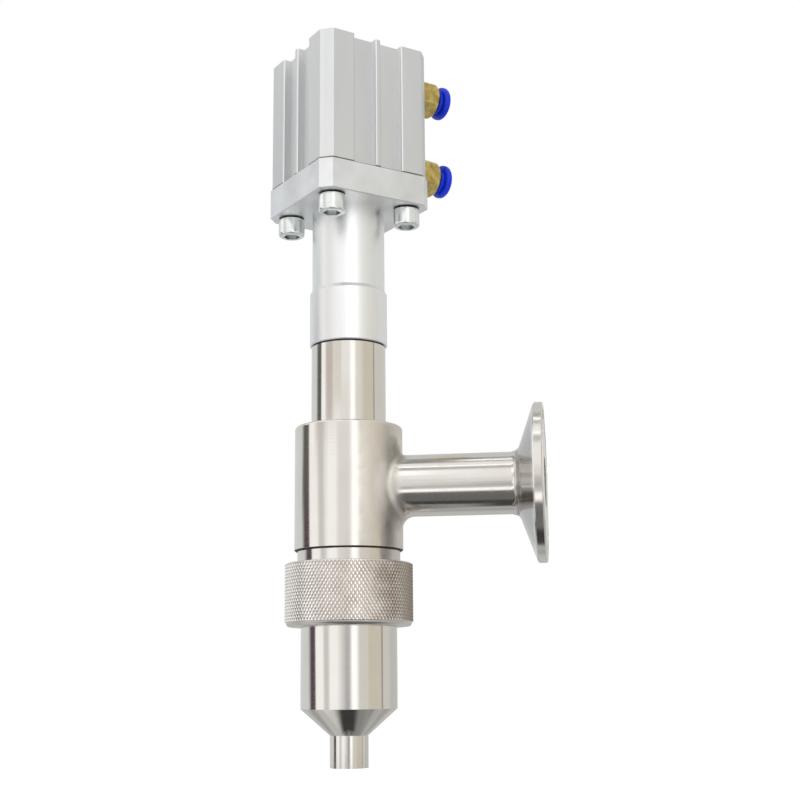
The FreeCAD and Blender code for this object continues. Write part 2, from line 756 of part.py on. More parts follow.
def valve_plug():
    """Plug with a cone parallel to the seat and a hub that the stem screws into."""
    hub_r = STEM_THREAD_R + PLUG_HUB_WALL
    z_land_top = z_plug_land + PLUG_LAND
    plug = turned((0, z_nose), (OUTLET_BORE_R, z_nose), (PLUG_R, z_plug_land), (PLUG_R, z_land_top),
                  (hub_r, z_land_top + PLUG_TAPER_H), (hub_r, z_plug_top), (0, z_plug_top))
    return plug.cut(plug_seal()).cut(cyl(STEM_THREAD_R, z_plug_top - STEM_THREAD_LEN, z_plug_top))


# Air fittings, made up the axis and laid along +X at a port's height

def at_port(shape, which):
    return clocked(along_x(shape, z_ports[which]))


def at_both_ports(make):
    return Part.makeCompound([at_port(make(), which) for which in z_ports])


def air_fitting():
    """Threaded stud and hexagon with a domed nose, bored for the tube and its grip."""
    corner_r = corner_radius(FITTING_HEX_AF)
    dome_start = fitting_end - FITTING_DOME_LEN
    dome_drop = corner_r - nose_r
    dome_r = (dome_drop ** 2 + FITTING_DOME_LEN ** 2) / (2 * dome_drop)
    dome_angle = math.degrees(math.asin(FITTING_DOME_LEN / dome_r))
    turned_blank = turned(
        (0, hex_start), (corner_r - FITTING_HEX_BREAK, hex_start), (corner_r, hex_start + FITTING_HEX_BREAK),
        (corner_r, dome_start), quarter((corner_r - dome_r, dome_start), dome_r, 0, dome_angle),
        (0, fitting_end))
    bar = hexagon(FITTING_HEX_AF, hex_start, fitting_end).common(turned_blank)
    bar.rotate(V(0, 0, 0), Z, FITTING_HEX_CLOCK)
    body = bar.fuse(cyl(PORT_THREAD_R, port_face - STUD_LEN, hex_start))
    body = body.cut(cyl(FITTING_FLOW_R, port_face - STUD_LEN, fitting_end))
    body = body.cut(cyl(socket_r, collet_floor - SOCKET_DEPTH, fitting_end))
    body = body.cut(cyl(collet_r, collet_floor, fitting_end - COLLET_LIP_LEN))
    return body.cut(cyl(mouth_r, collet_floor, fitting_end))


def port_gasket():
    return tube(WASHER_RING_R, PORT_THREAD_R, port_face, hex_start)


def tube_seal():
    section_r = (collet_r - socket_r) / 2
    return ring(socket_r + section_r, section_r, collet_floor + section_r)


def grip_ring():
    """Thin toothed ring that bites the tube."""
    high = grip_start + GRIP_T
    sheet = GRIP_T / 2
    body = turned((socket_r + sheet, grip_start + sheet), (collet_r - sheet, grip_start),
                  (collet_r, grip_start), (collet_r, grip_start + sheet),
                  (collet_r - sheet, grip_start + sheet), (socket_r, high), (socket_r, high - sheet / 2))
    slot_end = collet_r - sheet
    for i in range(GRIP_TEETH):
        slot = Part.makeBox(slot_end, GRIP_SLOT, GRIP_T, V(0, -GRIP_SLOT / 2, grip_start))
        slot.rotate(V(0, 0, 0), Z, 360 / GRIP_TEETH * i)
        body = body.cut(slot)
    return body


def release_ring():
    """Ring pushed in to free the tube: hook inside the mouth, skirt, and rounded flange outside."""
    flange_r = collet_r + RING_FLANGE_OVER
    back = fitting_end + RING_TRAVEL + RING_END_GAP
    front = back + RING_FLANGE_T
    hook_r = collet_r - RING_SIDE_GAP
    inner = socket_r + TUBE_GAP
    lead = hook_r - skirt_r
    body = turned(
        (inner, hook_low), (skirt_r, hook_low), (hook_r, hook_low + lead), (hook_r, hook_top),
        (skirt_r, hook_top), (skirt_r, back), (flange_r - RING_ROUND, back),
        quarter((flange_r - RING_ROUND, back + RING_ROUND), RING_ROUND, -90, 0),
        (flange_r, front - RING_ROUND),
        quarter((flange_r - RING_ROUND, front - RING_ROUND), RING_ROUND, 0, 90),
        (inner + EDGE_BREAK, front), (inner, front - EDGE_BREAK))
    return body


nodes = {
    "nozzle_body": nozzle_body,
    "union_nut": union_nut,
    "union_gasket": union_gasket,
    "tee_body": tee_body,
    "inlet_pipe": inlet_pipe,
    "inlet_ferrule": inlet_ferrule,
    "bonnet_tube": bonnet_tube,
    "gland_bush": gland_bush,
    "gland_seals": gland_seals,
    "gland_outer_seal": gland_outer_seal,
    "stem_guide": stem_guide,
    "connecting_sleeve": connecting_sleeve,
    "flange_plate": flange_plate,
    "cap_screws": cap_screws,
    "screw_washers": screw_washers,
    "cylinder_body": cylinder_body,
    "front_snap_ring": lambda: snap_ring(z_body + SNAP_INSET),
    "rear_snap_ring": lambda: snap_ring(z_rear_top),
    "front_cover": front_cover,
    "front_cover_seal": lambda: ring(CYL_BORE_R - FRONT_SEAL_R, FRONT_SEAL_R, z_front + FRONT_RIM / 2),
    "rear_cover": rear_cover,
    "rear_cover_seal": lambda: ring(CYL_BORE_R - REAR_SEAL_R, REAR_SEAL_R, z_rear_top - REAR_RIM / 2),
    "rod_bush": rod_bush,
    "rod_seal": rod_seal,
    "piston": piston,
    "piston_seal": piston_seal,
    "wear_ring": wear_ring,
    "piston_bumpers": piston_bumpers,
    "piston_nut": piston_nut,
    "piston_rod": piston_rod,
    "coupling_nut": coupling_nut,
    "valve_stem": valve_stem,
    "valve_plug": valve_plug,
    "plug_seal": plug_seal,
    "upper_fitting": lambda: at_port(air_fitting(), "upper"),
    "lower_fitting": lambda: at_port(air_fitting(), "lower"),
    "port_gaskets": lambda: at_both_ports(port_gasket),
    "tube_seals": lambda: at_both_ports(tube_seal),
    "grip_rings": lambda: at_both_ports(grip_ring),
    "upper_release_ring": lambda: at_port(release_ring(), "upper"),
    "lower_release_ring": lambda: at_port(release_ring(), "lower"),
}

os.makedirs("parts", exist_ok=True)
for name, make in nodes.items():
    make().exportStep(f"parts/{name}.step")
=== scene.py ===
import math

import bpy
from bpy.props import FloatProperty, FloatVectorProperty, IntProperty, PointerProperty
from mathutils import Matrix, Vector


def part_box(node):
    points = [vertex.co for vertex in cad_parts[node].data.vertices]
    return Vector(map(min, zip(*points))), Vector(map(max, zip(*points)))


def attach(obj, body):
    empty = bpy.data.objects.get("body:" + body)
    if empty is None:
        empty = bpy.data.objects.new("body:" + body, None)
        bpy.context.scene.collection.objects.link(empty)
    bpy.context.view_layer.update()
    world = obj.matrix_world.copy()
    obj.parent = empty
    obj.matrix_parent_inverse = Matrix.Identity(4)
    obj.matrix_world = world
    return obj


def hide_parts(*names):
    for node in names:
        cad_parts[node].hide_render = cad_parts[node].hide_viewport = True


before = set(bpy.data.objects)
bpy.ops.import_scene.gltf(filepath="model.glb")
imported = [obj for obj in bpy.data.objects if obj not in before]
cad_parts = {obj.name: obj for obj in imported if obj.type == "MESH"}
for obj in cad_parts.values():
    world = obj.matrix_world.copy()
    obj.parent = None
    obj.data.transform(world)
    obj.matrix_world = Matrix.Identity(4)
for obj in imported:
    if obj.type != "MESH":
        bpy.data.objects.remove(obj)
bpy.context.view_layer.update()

bl_info = {
    "name": "Liquid filling nozzle",
    "version": (1, 0, 0),
    "blender": (4, 5, 0),
    "location": "3D View > Sidebar > Filling nozzle",
    "description": "Knurled nut and metal finishes of a pneumatic filling nozzle, in a white studio",
    "category": "Object",
}

MM = 0.001

# Heights on the nozzle and a reach that takes in all of it, in mm, for the places that finishes name
TEE_FOOT = 66.3
BRANCH_AXIS = 86.7
BARREL_FOOT = 188.8
ALL_ROUND = 900

# Share of a noise texture's range that is used, because values beyond it are rare
NOISE_LOW, NOISE_HIGH = 0.3, 0.7

# Camera, from the fit of the object's real sizes to the view
CAMERA_PLACE = Vector((74.99, -422.84, 25.9)) * MM
CAMERA_AIM = Vector((-0.13346, 0.96988, 0.2037))
CAMERA_ROLL = math.radians(-0.534)
FOCAL_SHARE = 1351.1 / 800
SENSOR = 36.0

# Room in metres: azimuths are degrees to the right of the camera, seen from the object
CAMERA_BEARING = math.degrees(math.atan2(CAMERA_PLACE.y, CAMERA_PLACE.x))
ROOM_MIDDLE = Vector((0, 0, 0.11))
WALL_RADIUS = 0.58
WALL_STEP = 0.002
FLOOR_HALF = 6.0
FLOOR_GLOW = 0.3
LAMP_DISTANCE = 0.62
LAMP_WIDTH = 0.066
LAMP_HEIGHT = 1.2

# Distance between a card's mesh lines: degrees up, degrees round, and metres on a flat card
LINES_UP = 8.0
LINES_ROUND = 6.0
LINES_FLAT = 0.1

WALL_CARDS = (
    # name, azimuths, soft left and right borders, lean in degrees of azimuth for each degree up,
    # elevations, soft lower and upper borders, colour, level; each hangs WALL_STEP nearer than the last
    ("left_grey_wall", (-186, -104), (4, 4), 0.0, (-30, 76), (6, 6), "DFE3E4", 1.0),
    ("left_strip", (-100, -65), (2, 3), -0.62, (-30, 76), (6, 6), "FFFFFF", 1.12),
    ("left_gap", (-66.6, -48.6), (5, 5), -0.45, (-30, 40), (6, 6), "DCDBD9", 1.0),
    ("left_gap_high", (-79, -46), (9, 6), 0.0, (7, 28), (5, 6), "D3CBC6", 1.0),
    ("left_flag_low", (-115, -87.3), (11, 3), -0.5, (-30, 9), (6, 3), "5A4E55", 1.0),
    ("left_flag_high", (-118, -91), (10, 3), 0.0, (3, 24), (3, 4), "66635F", 1.0),
    ("front_left_wall", (-50, -20), (4, 4), 0.0, (8, 30), (4, 4), "EBE7E2", 1.0),
    ("front_left_window", (-47, -24), (3, 3), 0.0, (-22, 13), (3, 5), "FFFFFF", 1.13),
    ("high_window", (-50, -12), (5, 5), 0.0, (25, 48), (4, 4), "FFFFFF", 1.4),
    ("camera_upper", (-26, 7), (7, 4), 0.0, (-4, 15), (4, 6), "F0EEEC", 1.0),
    ("camera_and_stand", (-24, 7), (18, 4), 0.0, (-15, 1), (4, 5), "C2C2C5", 1.0),
    ("stand_foot", (-12, 9), (6, 3), 0.0, (-30, -9), (4, 4), "A9A5A8", 1.0),
    ("right_front_wall", (14, 46), (10, 3), 0.0, (-30, 76), (6, 6), "E3E1DB", 1.0),
    ("right_front_upper", (14, 40), (9, 5), 0.0, (1, 30), (7, 7), "F0EDE6", 1.0),
    ("right_tan_wall", (43, 83), (3, 3), 0.0, (-30, 26), (6, 6), "DAD5C7", 1.0),
    ("right_dark_line", (80.5, 87.5), (1.5, 1.5), 0.0, (-30, 26), (6, 6), "A09A8E", 1.0),
    ("right_grey_wall", (86, 176), (3, 3), 0.0, (-30, 76), (6, 6), "DBDAD7", 1.0),
    ("right_far_corner", (104, 166), (14, 10), 0.0, (-30, 2), (6, 6), "CBCDCA", 1.0),
    ("right_upper_wall", (21, 100), (6, 6), 0.0, (22, 76), (5, 6), "E0E0DE", 1.0),
    ("front_upper_wall", (-62, 22), (6, 6), 0.0, (46, 66), (5, 5), "FFFFFF", 0.5),
    ("back_upper_wall", (108, 252), (10, 10), 0.0, (24, 62), (8, 8), "FFFFFF", 0.65),
    ("front_right_upper", (14, 52), (4, 14), 0.0, (24, 60), (6, 8), "FFFFFF", 0.95),
    ("front_lamp_line", (-60, 30), (8, 8), 0.0, (60, 65), (2, 2), "FFFFFF", 2.2),
    ("lamp_glow", (0, 24.5), (11, 10), 0.0, (-30, 76), (6, 6), "FFFFFF", 1.3),
)

FLAT_CARDS = (
    # name, distances from the axis towards the camera and to its right, height above the floor,
    # soft border, level
    ("ceiling", (-0.54, 0.095), (-0.35, 0.35), 0.69, 0.02, 0.42),
    ("ceiling_line", (-0.04, 0.02), (-0.35, 0.35), 0.688, 0.015, 2.0),
    ("floor_behind", (-0.9, 0.0), (-0.6, 0.6), 0.001, 0.04, 0.40),
    ("floor_behind_bright", (-0.34, -0.05), (-0.3, 0.3), 0.0011, 0.04, 0.58),
    ("floor_left", (-0.05, 0.75), (-0.6, 0.02), 0.001, 0.03, 0.58),
    ("floor_right", (-0.05, 0.75), (-0.01, 0.6), 0.0012, 0.03, 0.48),
    ("floor_black", (0.016, 0.25), (-0.11, 0.075), 0.0015, 0.03, 0.16),
    ("floor_bright_line", (0.19, 0.33), (-0.3, 0.3), 0.0016, 0.02, 1.35),
    ("floor_black_edge", (0.014, 0.06), (-0.06, 0.04), 0.0018, 0.012, 0.05),
    ("floor_black_rim", (-0.014, 0.06), (0.025, 0.09), 0.00185, 0.012, 0.05),
    ("mouth_half_shade", (-0.035, 0.020), (-0.022, 0.035), 0.0019, 0.015, 0.28),
    ("mouth_shade", (-0.030, 0.016), (-0.017, 0.014), 0.002, 0.007, 0.05),
)


def linear(hex_colour):
    """Linear colour of an sRGB hex value."""
    channels = (int(hex_colour[i:i + 2], 16) / 255 for i in (0, 2, 4))
    return (*(c / 12.92 if c <= 0.04045 else ((c + 0.055) / 1.055) ** 2.4 for c in channels), 1.0)


def add(tree, kind, inputs=None, **settings):
    """Adds a node with its settings, and values or links on its inputs."""
    node = tree.nodes.new(kind)
    for key, value in settings.items():
        setattr(node, key, value)
    for key, value in (inputs or {}).items():
        if isinstance(value, bpy.types.NodeSocket):
            tree.links.new(value, node.inputs[key])
        else:
            node.inputs[key].default_value = value
    return node


def empty_material(name):
    """A named material and its bare node tree."""
    material = bpy.data.materials.new(name)
    material.use_nodes = True
    material.node_tree.nodes.clear()
    return material, material.node_tree


def grain_pattern(tree, size_mm, detail=2.0):
    """Noise with a grain of its own real size along x, y and z, its middle range spread over 0 to 1."""
    where = add(tree, "ShaderNodeTexCoord")
    scaled = add(tree, "ShaderNodeVectorMath", {
        0: where.outputs["Object"], 1: [1 / (size * MM) for size in size_mm]}, operation="MULTIPLY")
    noise = add(tree, "ShaderNodeTexNoise", {"Vector": scaled.outputs[0], "Scale": 1.0, "Detail": detail})
    return add(tree, "ShaderNodeMapRange", {
        "Value": noise.outputs["Fac"], "From Min": NOISE_LOW, "From Max": NOISE_HIGH}).outputs["Result"]


def near_place(tree, centre_mm, reach_mm, soft):
    """1 near a place and 0 beyond its reach along x, y and z, with an uneven soft edge."""
    ragged = 0.3 * soft
    where = add(tree, "ShaderNodeTexCoord")
    apart = add(tree, "ShaderNodeVectorMath", {
        0: where.outputs["Object"], 1: [c * MM for c in centre_mm]}, operation="SUBTRACT")
    scaled = add(tree, "ShaderNodeVectorMath", {
        0: apart.outputs[0], 1: [1 / (reach * MM) for reach in reach_mm]}, operation="MULTIPLY")
    distance = add(tree, "ShaderNodeVectorMath", {0: scaled.outputs[0]}, operation="LENGTH")
    uneven = add(tree, "ShaderNodeMapRange", {
        "Value": grain_pattern(tree, (5, 5, 5)), "To Min": -ragged, "To Max": ragged})
    total = add(tree, "ShaderNodeMath", {0: distance.outputs["Value"], 1: uneven.outputs["Result"]})
    return add(tree, "ShaderNodeMapRange", {
        "Value": total.outputs[0], "From Min": 1.0, "From Max": 1.0 - soft}).outputs["Result"]


def finish(name, colours, cloud_mm, grain_mm, roughness, depth_mm, patches=(), **constants):
    """Material that drifts between two colours, with a grain that varies its gloss and its surface.

    roughness is its range over the grain, and constants are the shader's other values. Each patch is a
    place with its own colour and roughness: centre and reach in mm, share that is its soft edge.
    """
    material, tree = empty_material(name)
    cloud = grain_pattern(tree, cloud_mm)
    grain = grain_pattern(tree, grain_mm, 3.0)
    colour = add(tree, "ShaderNodeMix", {"Factor": cloud, 6: colours[0], 7: colours[1]}, data_type="RGBA")
    gloss = add(tree, "ShaderNodeMapRange", {"Value": grain, "To Min": roughness[0], "To Max": roughness[1]})
    colour, gloss = colour.outputs[2], gloss.outputs["Result"]
    for centre, reach, soft, patch_colour, patch_roughness in patches:
        mask = near_place(tree, centre, reach, soft)
        colour = add(tree, "ShaderNodeMix", {
            "Factor": mask, 6: colour, 7: patch_colour}, data_type="RGBA").outputs[2]
        gloss = add(tree, "ShaderNodeMix", {"Factor": mask, 2: gloss, 3: patch_roughness}).outputs[0]
    relief = add(tree, "ShaderNodeBump", {"Height": grain, "Distance": depth_mm * MM})
    shader = add(tree, "ShaderNodeBsdfPrincipled", {
        "Base Color": colour, "Roughness": gloss, "Normal": relief.outputs["Normal"], **constants})
    add(tree, "ShaderNodeOutputMaterial", {"Surface": shader.outputs["BSDF"]})
    return material


def metal(name, colours, cloud_mm, grain_mm, roughness, depth_mm, patches=()):
    """A finish of bare or plated metal."""
    return finish(name, colours, cloud_mm, grain_mm, roughness, depth_mm, patches, Metallic=1.0)


def dress(nodes, material):
    """Gives CAD nodes a finish."""
    for node in nodes:
        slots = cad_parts[node].data.materials
        slots.clear()
        slots.append(material)


def colour_setting(name, description, hex_colour):
    """A colour that a user may change."""
    return FloatVectorProperty(name=name, description=description, subtype="COLOR", size=4,
                               min=0.0, max=1.0, default=linear(hex_colour))


class FinishSettings(bpy.types.PropertyGroup):
    steel: colour_setting("Stainless steel", "Polished steel of the wetted parts", "E6E3DE")
    steel_warm: colour_setting("Stainless steel, warm", "Where the polish is warmer", "E3DED7")
    knurl_crest: colour_setting("Knurl tops", "Burnished tops of the knurl's diamonds", "FFFDFA")
    # The knurl's valley colours are darker partly by soil, partly as painted shade in its recesses
    knurl_valley: colour_setting("Knurl valleys", "Matt steel between the diamonds", "ECE6E1")
    knurl_soil: colour_setting("Knurl, soiled", "Darker places in the knurl's valleys", "DAD2CB")
    sleeve: colour_setting("Sleeve", "Satin aluminium of the connecting sleeve", "F4F5F5")
    extrusion: colour_setting("Extrusion", "Anodised aluminium of the cylinder barrel", "DFE0E0")
    extrusion_dark: colour_setting("Extrusion, darker", "Where the anodising is darker", "D8D9DA")
    flange: colour_setting("Flange", "Milled aluminium of the flange and covers", "F0F2F4")
    zinc: colour_setting("Zinc", "Bright plating of the screws", "F2F5F3")
    brass: colour_setting("Brass", "Bare brass of the air fittings", "DAC57C")
    brass_tarnished: colour_setting("Brass, tarnished", "Darker places on the brass", "A48D4A")
    ring_blue: colour_setting("Release ring", "Blue acetal", "0036E8")
    ring_blue_dark: colour_setting("Release ring, darker", "Where the moulding is darker", "002CD2")


class KnurlSettings(bpy.types.PropertyGroup):
    count: IntProperty(
        name="Diamonds round the nut", description="Diamonds in one row", default=104, min=24)
    rows: IntProperty(
        name="Rows", description="Staggered rows of diamonds over the height, an even number",
        default=18, min=4, step=2)
    depth: FloatProperty(
        name="Depth", description="From a diamond's top down to the valley", default=0.30 * MM,
        min=0.05 * MM, precision=5, unit="LENGTH")
    worn_share: FloatProperty(
        name="Flat tops", description="Size of a diamond's flat top, as a share of the diamond",
        default=0.44, min=0.05, max=0.9, subtype="FACTOR")
    plain_band: FloatProperty(
        name="Plain band", description="Height of the smooth band at the lower edge", default=1.45 * MM,
        min=0.2 * MM, precision=5, unit="LENGTH")
    top_edge: FloatProperty(
        name="Top edge", description="Height of the rounding at the upper edge", default=0.45 * MM,
        min=0.1 * MM, precision=5, unit="LENGTH")


class StudioSettings(bpy.types.PropertyGroup):
    floor_drop: FloatProperty(
        name="Floor drop", description="From the nozzle's mouth down to the floor", default=0.04,
        min=0.0, unit="LENGTH")
    floor_colour: colour_setting("Floor", "Pale floor", "F2F2F2")
    room_level: FloatProperty(
        name="Room light", description="Level of the white room's light", default=0.85, min=0.0)
    strip_azimuth: FloatProperty(
        name="Strip lamp azimuth", description="To the right of the camera, seen from the nozzle",
        default=math.radians(12.3), unit="ROTATION")
    strip_level: FloatProperty(
        name="Strip lamp level", description="Brightness of the lamp's face, where white is 1",
        default=2.3, min=0.0)


def toward(azimuth, elevation, distance):
    """Step from the middle of the room in a direction given in degrees."""
    a, e = math.radians(CAMERA_BEARING + azimuth), math.radians(elevation)
    return Vector((math.cos(a) * math.cos(e), math.sin(a) * math.cos(e), math.sin(e))) * distance


def card_lines(ends, borders, step):
    """Places of a card's mesh lines, with 0 at its outer edges and 1 inside its soft borders."""
    low, high = ends[0] + borders[0], ends[1] - borders[1]
    count = max(1, math.ceil((high - low) / step))
    inside = [low + (high - low) * i / count for i in range(count + 1)]
    return [(ends[0], 0.0), *((place, 1.0) for place in inside), (ends[1], 0.0)]


def make_card(name, rows, columns, place, hex_colour, level):
    """A card that only reflections show. Its borders fade into what lies behind it."""
    mesh = bpy.data.meshes.new(name)
    width = len(columns)
    mesh.from_pydata(
        [place(column, row) for row, _ in rows for column, _ in columns], [],
        [(i * width + j, i * width + j + 1, (i + 1) * width + j + 1, (i + 1) * width + j)
         for i in range(len(rows) - 1) for j in range(width - 1)])
    fade = mesh.attributes.new("fade", "FLOAT", "POINT")
    fade.data.foreach_set("value", [a * b for _, a in rows for _, b in columns])
    material, tree = empty_material(name)
    inside = add(tree, "ShaderNodeAttribute", attribute_name="fade")
    glow = add(tree, "ShaderNodeEmission", {"Color": linear(hex_colour), "Strength": level})
    faded = add(tree, "ShaderNodeMixShader", {
        0: inside.outputs["Fac"], 1: add(tree, "ShaderNodeBsdfTransparent").outputs[0], 2: glow.outputs[0]})
    add(tree, "ShaderNodeOutputMaterial", {"Surface": faded.outputs[0]})
    material.cycles.emission_sampling = "NONE"
    mesh.materials.append(material)
    card = bpy.data.objects.new(name, mesh)
    bpy.context.scene.collection.objects.link(card)
    card.visible_camera = card.visible_diffuse = card.visible_shadow = False


def seen_directly(tree):
    """1 for what the camera sees, also in a mirror or through glass."""
    path = add(tree, "ShaderNodeLightPath")
    glossy = add(tree, "ShaderNodeMath", {
        0: path.outputs["Is Camera Ray"], 1: path.outputs["Is Glossy Ray"]}, operation="MAXIMUM")
    clear = add(tree, "ShaderNodeMath", {
        0: glossy.outputs[0], 1: path.outputs["Is Transmission Ray"]}, operation="MAXIMUM")
    return clear.outputs[0]


class NOZZLE_OT_studio(bpy.types.Operator):
    """Camera, white room, floor, strip lamp and the cards that the metal reflects"""
    bl_idname = "nozzle.studio"
    bl_label = "White studio"

    def execute(self, context):
        scene, studio = context.scene, context.scene.nozzle_studio
        scene.view_settings.view_transform = "Standard"
        self.place_camera(scene)
        self.make_room(scene, studio)
        self.make_floor(scene, studio)
        self.hang_lamp(scene, studio)
        radius = WALL_RADIUS
        for name, azimuths, sides, lean, elevations, ends, hex_colour, level in WALL_CARDS:
            make_card(name, card_lines(elevations, ends, LINES_UP), card_lines(azimuths, sides, LINES_ROUND),
                      lambda az, el: ROOM_MIDDLE + toward(az + lean * el, el, radius), hex_colour, level)
            radius -= WALL_STEP
        for name, nearer, across, height, border, level in FLAT_CARDS:
            borders = (border, border)
            make_card(name, card_lines(nearer, borders, LINES_FLAT), card_lines(across, borders, LINES_FLAT),
                      lambda side, near: self.from_camera(near, side, height - studio.floor_drop),
                      "FFFFFF", level)
        return {"FINISHED"}

    def from_camera(self, nearer, across, height):
        """Place by its distance from the axis towards the camera and to the camera's right."""
        bearing = math.radians(CAMERA_BEARING)
        ahead = Vector((math.cos(bearing), math.sin(bearing), 0))
        return ahead * nearer + Vector((-ahead.y, ahead.x, 0)) * across + Vector((0, 0, height))

    def place_camera(self, scene):
        """Camera of the view, with its slight roll."""
        aim = CAMERA_AIM.normalized()
        right = aim.cross(Vector((0, 0, 1))).normalized()
        up = right.cross(aim)
        turned_right = math.cos(CAMERA_ROLL) * right + math.sin(CAMERA_ROLL) * up
        turned_up = math.cos(CAMERA_ROLL) * up - math.sin(CAMERA_ROLL) * right
        data = bpy.data.cameras.new("camera")
        data.sensor_width = SENSOR
        data.lens = FOCAL_SHARE * SENSOR
        data.clip_start = 0.01
        camera = bpy.data.objects.new("camera", data)
        camera.matrix_world = (Matrix.Translation(CAMERA_PLACE)
                               @ Matrix((turned_right, turned_up, -aim)).transposed().to_4x4())
        scene.collection.objects.link(camera)
        scene.camera = camera

    def make_room(self, scene, studio):
        """White surroundings: full white where they are seen, a little less as light."""
        world = bpy.data.worlds.new("white_room")
        world.use_nodes = True
        tree = world.node_tree
        tree.nodes.clear()
        level = add(tree, "ShaderNodeMapRange", {
            "Value": seen_directly(tree), "To Min": studio.room_level, "To Max": 1.0})
        light = add(tree, "ShaderNodeBackground", {
            "Color": (1, 1, 1, 1), "Strength": level.outputs["Result"]})
        add(tree, "ShaderNodeOutputWorld", {"Surface": light.outputs[0]})
        scene.world = world

    def make_floor(self, scene, studio):
        """White paper that takes the shadow, with a glow that only views and reflections see."""
        half, z = FLOOR_HALF, -studio.floor_drop
        mesh = bpy.data.meshes.new("floor")
        mesh.from_pydata([(-half, -half, z), (half, -half, z), (half, half, z), (-half, half, z)],
                         [], [(0, 1, 2, 3)])
        material, tree = empty_material("white_floor")
        paper = add(tree, "ShaderNodeBsdfDiffuse", {"Color": studio.floor_colour})
        share = add(tree, "ShaderNodeMath", {0: seen_directly(tree), 1: FLOOR_GLOW}, operation="MULTIPLY")
        glow = add(tree, "ShaderNodeEmission", {"Color": (1, 1, 1, 1), "Strength": share.outputs[0]})
        both = add(tree, "ShaderNodeAddShader", {0: paper.outputs[0], 1: glow.outputs[0]})
        add(tree, "ShaderNodeOutputMaterial", {"Surface": both.outputs[0]})
        mesh.materials.append(material)
        floor = bpy.data.objects.new("floor", mesh)
        scene.collection.objects.link(floor)

    def hang_lamp(self, scene, studio):
        """Upright strip lamp on the floor. A face as bright as white gives pi watts per square metre."""
        data = bpy.data.lights.new("strip_lamp", "AREA")
        data.shape = "RECTANGLE"
        data.size, data.size_y = LAMP_WIDTH, LAMP_HEIGHT
        data.energy = studio.strip_level * math.pi * LAMP_WIDTH * LAMP_HEIGHT
        lamp = bpy.data.objects.new("strip_lamp", data)
        place = self.from_camera(
            LAMP_DISTANCE * math.cos(studio.strip_azimuth), LAMP_DISTANCE * math.sin(studio.strip_azimuth),
            LAMP_HEIGHT / 2 - studio.floor_drop)
        back = Vector((place.x, place.y, 0))
        lamp.matrix_world = Matrix.Translation(place) @ back.to_track_quat("Z", "Y").to_matrix().to_4x4()
        scene.collection.objects.link(lamp)


class NOZZLE_OT_wetted_steel(bpy.types.Operator):
    """Turned and polished stainless steel of the nozzle, tee, bonnet and inlet"""
    bl_idname = "nozzle.wetted_steel"
    bl_label = "Stainless body and inlet"

    def execute(self, context):
        settings = context.scene.nozzle_finish
        colours = (settings.steel, settings.steel_warm)
        # Stainless steel 304, turned and then polished: a clean mirror drawn out by fine rings round
        # the axis. Real rings are about 0.05 mm apart, and 0.35 mm here so that they show.
        dress(("nozzle_body", "bonnet_tube"), metal(
            "polished_stainless_upright", colours, (9, 9, 9), (60, 60, 0.35), (0.08, 0.14), 0.0015))
        # The tee is turned too. Round the branch it is blended by hand and dull, most of all on the
        # welded root, whose darker colour is painted shade in the crease, with painted light beside it.
        # Its lower edge has a painted shadow line where it meets the neck.
        hand_blend = (11.5, -10, BRANCH_AXIS), (7.2, 30, 30), 0.5, linear("E8E2DB"), 0.36
        above_branch = (18, -3, 106), (8, 25, 14), 0.7, linear("DED7CF"), 0.38
        below_branch = (18, -3, 67), (8, 25, 14), 0.7, linear("DED7CF"), 0.38
        # Painted light: a lighter patch that lifts the shade beside the branch's welded root
        weld_edge_light = (12.6, -12, BRANCH_AXIS), (2.6, 9, 11), 0.7, linear("F8F4F0"), 0.50
        # Painted shade in the crease round the branch's welded root, darker above the branch than below
        weld_shade = (15.6, -7, BRANCH_AXIS), (2.0, 12, 12), 0.7, linear("D2CCC4"), 0.45
        weld_top_shade = (16.2, -6, 96), (3.2, 9, 6.5), 0.8, linear("ACA69E"), 0.45
        weld_foot_shade = (16.2, -6, 77.5), (3.2, 9, 6.5), 0.8, linear("C6C0B8"), 0.45
        # Painted shadow line along the tee's lower edge, where it meets the neck
        foot_shadow_line = (0, 0, TEE_FOOT), (ALL_ROUND, ALL_ROUND, 0.32), 0.3, linear("4A4744"), 0.5
        dress(("tee_body",), metal(
            "turned_stainless_tee", colours, (9, 9, 9), (60, 60, 0.35), (0.09, 0.15), 0.002,
            (hand_blend, above_branch, below_branch, weld_edge_light, weld_shade, weld_top_shade, weld_foot_shade, foot_shadow_line)))
        # The same steel turned about the branch's axis, so its rings run round the inlet. The
        # ferrule's coned back is greyer than its rim, as painted shade where it faces the tee.
        dress(("inlet_pipe",), metal(
            "turned_stainless_branch", colours, (9, 9, 9), (0.35, 60, 60), (0.12, 0.18), 0.003))
        dress(("inlet_ferrule",), metal(
            "turned_stainless_ferrule", colours, (9, 9, 9), (0.25, 60, 60), (0.13, 0.20), 0.002, (
                ((56.6, 0, BRANCH_AXIS), (3.2, ALL_ROUND, ALL_ROUND), 0.25, linear("B0ADAB"), 0.14),)))
        return {"FINISHED"}


